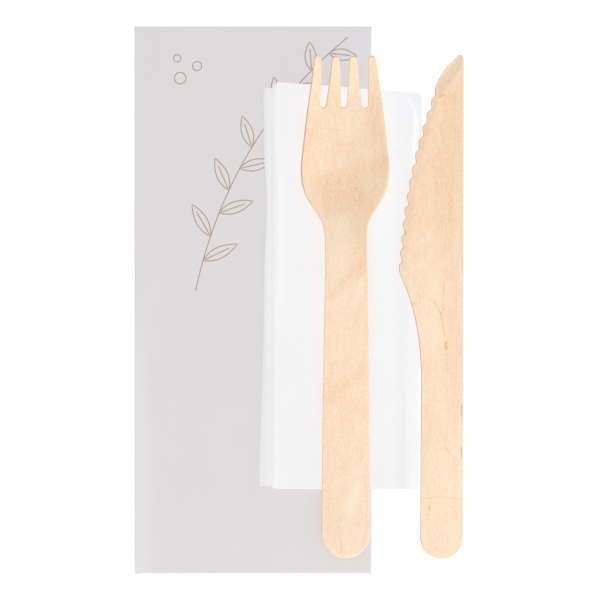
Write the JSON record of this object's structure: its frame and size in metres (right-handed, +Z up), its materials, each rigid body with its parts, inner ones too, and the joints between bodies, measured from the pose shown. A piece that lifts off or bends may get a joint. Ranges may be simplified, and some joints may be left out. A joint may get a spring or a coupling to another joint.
{
  "type": "wooden cutlery set",
  "caption": "Disposable table set laid out flat: a pressed wooden fork with tines and a toothed wooden knife on a folded paper napkin and a flat paper pouch.",
  "frame": {"origin": "Centre of the whole set seen from above, on the table that it lies on.", "axes": "+Y runs along the set toward the fork's tines, the knife's point and the pouch's mouth. +X points right, from the pouch to the knife. +Z points up from the table."},
  "size_m": [0.108, 0.1798, 0.0089],
  "materials": {
    "pouch_paper": "matte",
    "napkin_tissue": "matte",
    "fork_birch": "matte",
    "knife_birch": "matte"
  },
  "bodies": {
    "root": {"paper_pouch": "pouch_paper", "paper_napkin": "napkin_tissue", "wooden_fork": "fork_birch", "wooden_knife": "knife_birch"}
  },
  "joints": []
}
